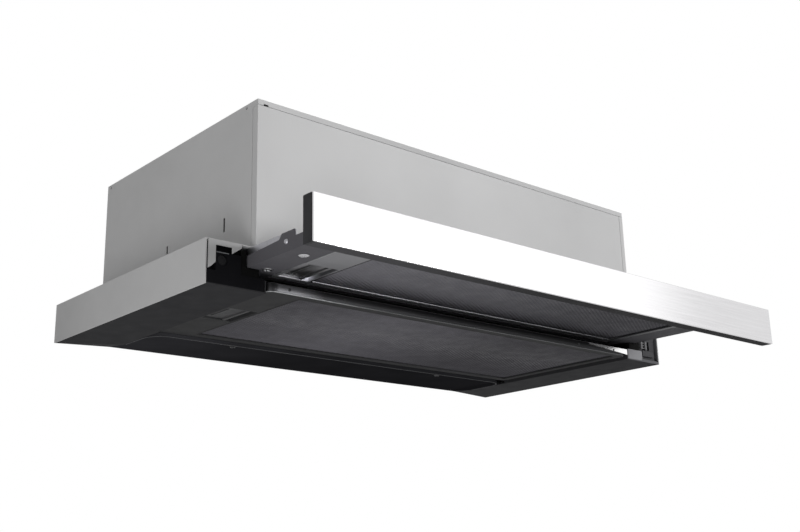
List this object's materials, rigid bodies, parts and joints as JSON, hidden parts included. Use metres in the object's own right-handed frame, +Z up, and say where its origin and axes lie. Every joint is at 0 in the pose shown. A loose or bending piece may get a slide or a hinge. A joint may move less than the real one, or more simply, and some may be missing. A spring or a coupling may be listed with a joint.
{
  "type": "pull out range hood",
  "caption": "Slim cooker hood for a wall cabinet: box body with blower and duct collar, flanged casing with a grease filter, and a visor on slides behind a brushed steel fascia.",
  "frame": {"origin": "centre of the four cabinet screws, on the plane where the casing flanges meet the cabinet's underside", "axes": "+X to the right along the fascia, +Y towards the wall, +Z up into the cabinet; the visor slides out along -Y"},
  "size_m": [0.598, 0.4209, 0.2085],
  "materials": {
    "painted_grey": "smooth light-grey powder coat",
    "charcoal_paint": "satin charcoal paint",
    "charcoal_plastic": "fine-grained charcoal plastic",
    "black_plastic": "matt black moulded plastic",
    "grey_plastic": "moulded grey plastic",
    "light_plastic": "light-grey moulded plastic",
    "white_plastic": "off-white moulded plastic",
    "red_plastic": "red moulded plastic",
    "stainless": "stainless steel brushed along its length",
    "zinc_steel": "zinc-plated rolled steel",
    "bright_steel": "bright plated steel",
    "motor_steel": "pressed steel motor can",
    "filter_aluminium": "folded aluminium, slightly darkened",
    "filter_mesh": "layered expanded aluminium mesh"
  },
  "bodies": {
    "casing": {"side_panel_left": "painted_grey", "side_panel_right": "painted_grey", "rear_wall": "painted_grey", "front_crossbar": "painted_grey", "liner_left": "charcoal_paint", "liner_right": "charcoal_paint", "rear_cover": "charcoal_plastic", "cover_screws": "bright_steel", "body_front_plate": "painted_grey", "body_side_left": "painted_grey", "body_side_right": "painted_grey", "body_rear_plate": "painted_grey", "body_top_plate": "painted_grey", "duct_collar": "black_plastic", "collar_screws": "bright_steel", "flap_pin": "bright_steel", "scroll_left": "grey_plastic", "scroll_right": "grey_plastic", "scroll_screws": "bright_steel", "motor_body": "motor_steel", "motor_bracket": "zinc_steel", "capacitor": "white_plastic", "capacitor_clip": "zinc_steel", "terminal_box": "black_plastic", "terminal_lid": "black_plastic", "terminal_block": "white_plastic", "cable_gland": "black_plastic", "rail_bracket_left": "zinc_steel", "rail_bracket_right": "zinc_steel", "rail_outer_left": "zinc_steel", "rail_outer_right": "zinc_steel", "guide_left": "black_plastic", "guide_right": "black_plastic", "button_housing": "black_plastic", "selector_housing": "black_plastic", "corner_bracket": "light_plastic", "visor_switch": "red_plastic"},
    "visor": {"visor_frame": "charcoal_paint", "visor_screws": "bright_steel", "rail_inner_left": "zinc_steel", "rail_inner_right": "zinc_steel", "fascia": "stainless", "fascia_channel": "charcoal_paint", "fascia_cap_left": "charcoal_plastic", "fascia_cap_right": "charcoal_plastic", "front_filter_frame": "filter_aluminium", "front_filter_core": "filter_mesh"},
    "front_latch": {"front_latch": "filter_aluminium"},
    "rear_filter": {"rear_filter_frame": "filter_aluminium", "rear_filter_core": "filter_mesh"},
    "rear_latch": {"rear_latch": "filter_aluminium"},
    "impeller": {"impeller": "zinc_steel", "impeller_rings": "zinc_steel", "impeller_blades": "zinc_steel", "motor_shaft": "bright_steel"},
    "front_flap": {"flap_front": "black_plastic"},
    "rear_flap": {"flap_rear": "black_plastic"},
    "power_button": {"power_button": "black_plastic"},
    "speed_knob": {"speed_knob": "light_plastic"},
    "switch_plunger": {"switch_plunger": "white_plastic"}
  },
  "joints": [
    {"name": "visor_slide", "type": "slide", "parent": "casing", "child": "visor", "axis": [0, 1, 0], "range_m": [0, 0.13]},
    {"name": "front_latch_slide", "type": "slide", "parent": "visor", "child": "front_latch", "axis": [1, 0, 0], "range_m": [0, 0.006], "stiffness_N_per_m": 250},
    {"name": "rear_filter_drop", "type": "hinge", "parent": "casing", "child": "rear_filter", "pos_m": [0.2365, -0.0455, -0.031], "axis": [0, -1, 0], "range_deg": [0, 60]},
    {"name": "rear_latch_slide", "type": "slide", "parent": "rear_filter", "child": "rear_latch", "axis": [1, 0, 0], "range_m": [0, 0.006], "stiffness_N_per_m": 250},
    {"name": "impeller_spin", "type": "hinge", "parent": "casing", "child": "impeller", "pos_m": [0, 0.00361, 0.07004], "axis": [1, 0, 0], "continuous": true},
    {"name": "front_flap_lift", "type": "hinge", "parent": "casing", "child": "front_flap", "pos_m": [0, 0.05, 0.1427], "axis": [-1, 0, 0], "range_deg": [0, 75]},
    {"name": "rear_flap_lift", "type": "hinge", "parent": "casing", "child": "rear_flap", "pos_m": [0, 0.05, 0.1427], "axis": [1, 0, 0], "range_deg": [0, 75]},
    {"name": "power_button_press", "type": "slide", "parent": "casing", "child": "power_button", "axis": [0, 1, 0], "range_m": [0, 0.002], "stiffness_N_per_m": 300},
    {"name": "speed_knob_slide", "type": "slide", "parent": "casing", "child": "speed_knob", "axis": [0, 0, 1], "range_m": [0, 0.009]},
    {"name": "switch_plunger_press", "type": "slide", "parent": "casing", "child": "switch_plunger", "axis": [0, 1, 0], "range_m": [0, 0.0015], "stiffness_N_per_m": 200}
  ]
}
